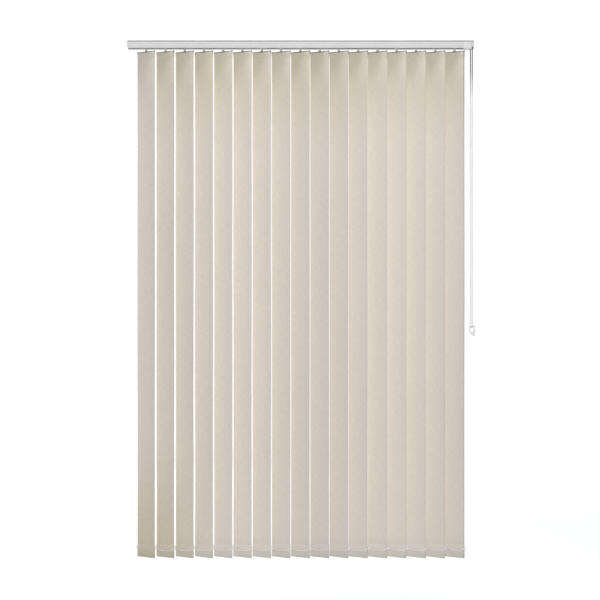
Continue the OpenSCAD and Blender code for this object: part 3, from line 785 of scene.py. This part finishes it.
# bar along the top of the cloth, with short taller ends, joined to the hanger
def addRib(hanger):
    size = hangerSize
    rib = addBlock(
        "hangerRib", (size["ribWidth"], size["thickness"], size["ribHeight"]),
        (0, 0, blind["louvreTop"] - size["ribHeight"] / 2))
    inner = size["ribWidth"] / 2 - size["ribEnd"]

    # faces of the rib's ends that look along one axis
    def endFaces(axis, sign):
        selectFaces(rib, lambda face: (
            face.normal[axis] * sign > facing and abs(face.center.x) > inner))

    bpy.ops.object.mode_set(mode="EDIT")
    for side in (-1, 1):
        bisectAt((side * inner, 0, 0), (1, 0, 0))
    for side in (-1, 1):
        endFaces(0, side)
        pushOut(side * size["ribOut"], 0, 0)
    for side, reach in ((1, size["ribRise"]), (-1, size["ribDrop"])):
        endFaces(2, side)
        pushOut(0, 0, side * reach)
    bpy.ops.object.mode_set(mode="OBJECT")
    addBoolean(hanger, "rib", "UNION", rib)
    applyModifiers(hanger)
    bpy.data.objects.remove(rib)


def modelHanger():
    size = hangerSize
    hanger = addBlock(
        "louvreHanger", (size["width"], size["thickness"], size["height"]),
        (0, 0, size["top"] - size["height"] / 2))
    bpy.ops.object.mode_set(mode="EDIT")
    tabHalf = size["tabWidth"] / 2
    for side in (-1, 1):
        bisectAt((side * tabHalf, 0, 0), (1, 0, 0))
    selectFaces(hanger, lambda face: face.normal.z > facing and abs(face.center.x) < tabHalf)
    middle = (0, 0, size["eyeHeight"])
    pushOut(0, 0, size["eyeHeight"] - size["top"] - size["tabStep"])
    pushOut(0, 0, size["tabStep"])
    bpy.ops.transform.resize(
        value=(size["tabNeck"] / size["tabWidth"], 1, 1), center_override=middle)
    pushOut(0, 0, size["tabTop"] - size["eyeHeight"])
    bpy.ops.object.mode_set(mode="OBJECT")
    addRib(hanger)
    deselectAll()
    bpy.ops.mesh.primitive_cylinder_add(
        vertices=size["eyeSides"], radius=size["eyeRadius"], depth=size["drillLength"],
        location=middle, rotation=(math.radians(90), 0, 0))
    drill = bpy.context.object
    drill.name = "eyeDrill"
    addBoolean(hanger, "eye", "DIFFERENCE", drill)
    addBevel(hanger, size["edge"])
    applyModifiers(hanger)
    bpy.data.objects.remove(drill)
    makeActive(hanger)
    bpy.ops.object.shade_smooth_by_angle(angle=mouldedAngle)
    return hanger


weightSize = {
    "width": 0.084,
    "thickness": 0.002,
    "bottom": -2.08995,
    "height": 0.03955,
    "armTop": -2.0539,
    "armHeight": 0.003,
    "reach": 0.050,
    "edge": 0.0004,
    "pinSides": 14,
    # radius and height of each ring of the chain's pin, from below
    "pin": [
        (0.0010, -2.0569), (0.0015, -2.0564), (0.0015, -2.0522), (0.0010, -2.0517),
        (0.0010, -2.0461), (0.0014, -2.0458), (0.0013, -2.0450), (0.0008, -2.0439),
    ],
}


def modelPin(x):
    rings = weightSize["pin"]
    deselectAll()
    bpy.ops.mesh.primitive_circle_add(
        vertices=weightSize["pinSides"], radius=rings[0][0], fill_type="NGON",
        location=(x, 0, rings[0][1]))
    pin = bpy.context.object
    bpy.ops.object.mode_set(mode="EDIT")
    bpy.ops.mesh.select_all(action="SELECT")
    for (below, low), (radius, high) in zip(rings, rings[1:]):
        pushOut(0, 0, high - low)
        bpy.ops.transform.resize(
            value=(radius / below, radius / below, 1), center_override=(x, 0, high))
    bpy.ops.mesh.select_all(action="SELECT")
    bpy.ops.mesh.normals_make_consistent(inside=False)
    bpy.ops.object.mode_set(mode="OBJECT")
    bakePlace(pin)
    return pin


def modelWeight():
    size = weightSize
    weight = addBlock(
        "louvreWeight", (size["width"], size["thickness"], size["height"]),
        (0, 0, size["bottom"] + size["height"] / 2))
    bpy.ops.object.mode_set(mode="EDIT")
    armHalf = size["armHeight"] / 2
    armMiddle = size["armTop"] - armHalf
    for height in (size["armTop"] - size["armHeight"], size["armTop"]):
        bisectAt((0, 0, height), (0, 0, 1))

    # the band of each end between the two cuts
    def armFaces(side):
        selectFaces(weight, lambda face: (
            face.normal.x * side > facing and abs(face.center.z - armMiddle) < armHalf))

    for side in (-1, 1):
        armFaces(side)
        pushOut(side * (size["reach"] - size["width"] / 2), 0, 0)
    bpy.ops.object.mode_set(mode="OBJECT")
    addBevel(weight, size["edge"])
    applyModifiers(weight)
    pins = [modelPin(side * size["reach"]) for side in (-1, 1)]
    makeActive(weight)
    for pin in pins:
        pin.select_set(True)
    bpy.ops.object.join()
    bpy.ops.object.shade_smooth_by_angle(angle=mouldedAngle)
    return weight


def placeCopy(pattern, name, place):
    copy = bpy.data.objects.new(name, pattern.data.copy())
    bpy.context.collection.objects.link(copy)
    copy.data.transform(place)
    return copy


# smooth step from 0 to 1 between two values
def rising(value, low, high):
    share = min(1.0, max(0.0, (value - low) / (high - low)))
    return share * share * (3 - 2 * share)


# tones on a strip: its own tone; painted light and shade: a slope from louvre to louvre, a paler
# far half, a darker near edge, the rail's shadow along the top, a darker foot; and a darker lower
# end on the first few louvres
def paintShade(mesh, number):
    fromMiddle = number - (blind["louvres"] + 1) / 2
    phase = math.pi * (number - strip["shadePeak"]) / strip["shadeHalfWave"]
    whole = strip["shadeMiddle"] + strip["shadeSpread"] * math.cos(phase)
    whole += strip["paintedShadeSlope"] * fromMiddle
    across = strip["paintedAcrossShade"] + strip["acrossSlope"] * fromMiddle
    last = number == blind["louvres"]
    topShare = strip["firstTop"] if number == 1 else 1
    cornerShare = max(0, 1 - strip["cornerStep"] * (number - 1))
    shades = mesh.color_attributes.new("shade", "FLOAT_COLOR", "POINT")
    for vertex in mesh.vertices:
        near = rising(vertex.co.x, *strip["nearReach"])
        upper = rising(vertex.co.z, *strip["topReach"])
        lower = 1 - rising(vertex.co.z, *strip["footReach"])
        edge = strip["paintedEdgeShade"]
        if last:
            edge = strip["paintedLastEdgeShade"] + strip["lastEdgeTop"] * upper
        turn = across - topShare * strip["acrossTurn"] * rising(vertex.co.z, *strip["acrossReach"])
        tone = whole * (1 - turn * vertex.co.x * 2 / blind["louvreWidth"])
        tone *= (1 - edge * near) * (1 - strip["paintedFootShade"] * lower)
        high, low = topShare * upper, cornerShare * rising(-vertex.co.z, *strip["cornerReach"])
        colour = [
            tone * (1 - high * top) * (1 - low * corner)
            for top, corner in zip(strip["paintedTopShadow"], strip["cornerShade"])]
        shades.data[vertex.index].color = (*colour, 1)


def makeLouvres():
    cloth, length = modelStrip()
    hanger = modelHanger()
    weight = modelWeight()
    for number in range(1, blind["louvres"] + 1):
        digits, place = twoDigits(number), louvrePlace(number)
        body, node = "vane_" + digits, "louvre_" + digits
        fabric = placeCopy(cloth, "louvreFabric" + digits, Matrix.Identity(4))
        bowStrip(fabric.data, number)
        for corner in fabric.data.uv_layers["cloth"].data:
            corner.uv += Vector([step * number for step in strip["clothStep"]])
        wall = fabric.modifiers.new("cloth", "SOLIDIFY")
        wall.thickness = strip["thickness"]
        wall.offset = 0
        applyModifiers(fabric)
        bpy.ops.object.shade_smooth_by_angle(angle=strip["smoothAngle"])
        paintShade(fabric.data, number)
        fabric.data.transform(place)
        dressPiece(fabric, louvreCloth, body)
        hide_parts(node)
        topHanger = placeCopy(hanger, "louvreHanger" + digits, place)
        dressPiece(topHanger, hangerPlastic, body)
        lowWeight = placeCopy(weight, "louvreWeight" + digits, place)
        dressPiece(lowWeight, weightPlastic, body)
    for pattern in (cloth, hanger, weight):
        bpy.data.objects.remove(pattern)
    print("louvres made:", blind["louvres"], "strips of", round(length, 3), "m")


makeLouvres()


# carried-over solids get their finishes
nodeFinish = {
    "headrail": railPaint,
    "idle_end_cap": endPlastic,
    "control_housing": endPlastic,
    "mounting_brackets": bracketSteel,
    "tilt_rod": rodAluminium,
    "chain_wheel": mechanismPlastic,
    "chain_tidy": tidyPlastic,
}
for number in range(1, blind["louvres"] + 1):
    nodeFinish["runner_" + twoDigits(number)] = mechanismPlastic
    nodeFinish["stem_" + twoDigits(number)] = stemPlastic
for node, finish in nodeFinish.items():
    dressNode(node, finish)
print("solids finished:", len(nodeFinish))


studio = {
    "floorHeight": -2.36,
    "floorSize": 40,
    "floorTone": 0.32,
    "floorRoughness": 0.9,
    "floorBounce": 0.25,
    "glowReach": (3.8, 8.3),    # distances between which the floor grows paler
    "glowLevel": (0.545, 0.86),
    "skyLevel": 0.20,
    # place, aim, size in x and y, power and colour of each soft lamp
    "lamps": {
        "front": ((0.15, -9.0, -0.2), (0, 0, -1.05), (1.2, 2.0), 590, (1, 1, 1)),
        "overhead": ((-0.5, -0.9, 6.0), (0, 0, -0.8), (5.0, 2.0), 780, (0.84, 0.87, 1)),
        "rear": ((-0.8, 5.2, 0.4), (0, 0, -1.05), (2.4, 2.4), 110, (1, 1, 1)),
    },
}


def grey(level):
    return (level, level, level, 1)


# 1 for what the camera sees, also in a reflection or through a surface
def seenDirectly(nodes, links):
    path = nodes.new("ShaderNodeLightPath")
    seen = path.outputs["Is Camera Ray"]
    for ray in ("Is Glossy Ray", "Is Transmission Ray"):
        seen = mathOf(nodes, links, "MAXIMUM", seen, path.outputs[ray])
    return seen


# white where it is seen, soft light to everything else
def makeSky():
    world = bpy.data.worlds.new("softRoom")
    bpy.context.scene.world = world
    world.use_nodes = True
    nodes, links = world.node_tree.nodes, world.node_tree.links
    soft = nodes["Background"]
    soft.inputs["Color"].default_value = grey(1)
    soft.inputs["Strength"].default_value = studio["skyLevel"]
    white = nodes.new("ShaderNodeBackground")
    white.inputs["Color"].default_value = grey(1)
    white.inputs["Strength"].default_value = 1.0
    choose = nodes.new("ShaderNodeMixShader")
    links.new(seenDirectly(nodes, links), choose.inputs["Fac"])
    links.new(soft.outputs["Background"], choose.inputs[1])
    links.new(white.outputs["Background"], choose.inputs[2])
    links.new(choose.outputs["Shader"], nodes["World Output"].inputs["Surface"])


# pale floor that takes the blind's shadow and glows more further off, so it meets the white
def makeFloor():
    deselectAll()
    bpy.ops.mesh.primitive_plane_add(
        size=studio["floorSize"], location=(0, 0, studio["floorHeight"]))
    floor = bpy.context.object
    floor.name = "paleFloor"
    bakePlace(floor)
    paint, nodes, links, base = newMaterial("floorPaint")
    base.inputs["Base Color"].default_value = grey(studio["floorTone"])
    base.inputs["Roughness"].default_value = studio["floorRoughness"]
    glow = nodes.new("ShaderNodeEmission")
    glow.inputs["Color"].default_value = grey(1)
    away = nodes.new("ShaderNodeVectorMath")
    away.operation = "LENGTH"
    links.new(nodes.new("ShaderNodeTexCoord").outputs["Object"], away.inputs[0])
    rise = nodes.new("ShaderNodeMapRange")
    near, far = rise.inputs["From Min"], rise.inputs["From Max"]
    near.default_value, far.default_value = studio["glowReach"]
    rise.inputs["To Min"].default_value, rise.inputs["To Max"].default_value = studio["glowLevel"]
    links.new(away.outputs["Value"], rise.inputs["Value"])
    links.new(rise.outputs["Result"], glow.inputs["Strength"])
    both = nodes.new("ShaderNodeAddShader")
    links.new(base.outputs["BSDF"], both.inputs[0])
    links.new(glow.outputs["Emission"], both.inputs[1])
    # to the light that bounces, the floor is a mid grey
    dim = nodes.new("ShaderNodeBsdfDiffuse")
    dim.inputs["Color"].default_value = grey(studio["floorBounce"])
    choose = nodes.new("ShaderNodeMixShader")
    links.new(seenDirectly(nodes, links), choose.inputs["Fac"])
    links.new(dim.outputs["BSDF"], choose.inputs[1])
    links.new(both.outputs["Shader"], choose.inputs[2])
    links.new(choose.outputs["Shader"], nodes["Material Output"].inputs["Surface"])
    floor.data.materials.append(paint)


def makeLamps():
    for name, (place, aim, size, power, colour) in studio["lamps"].items():
        deselectAll()
        bpy.ops.object.light_add(type="AREA", location=place)
        lamp = bpy.context.object
        lamp.name = name + "Lamp"
        lamp.data.shape = "RECTANGLE"
        lamp.data.size, lamp.data.size_y = size
        lamp.data.energy = power
        lamp.data.color = colour
        lamp.rotation_euler = (Vector(aim) - Vector(place)).to_track_quat("-Z", "Y").to_euler()


def makeStudio():
    makeSky()
    makeFloor()
    makeLamps()
    bpy.context.scene.view_settings.view_transform = "Standard"
    print("studio lit")


makeStudio()
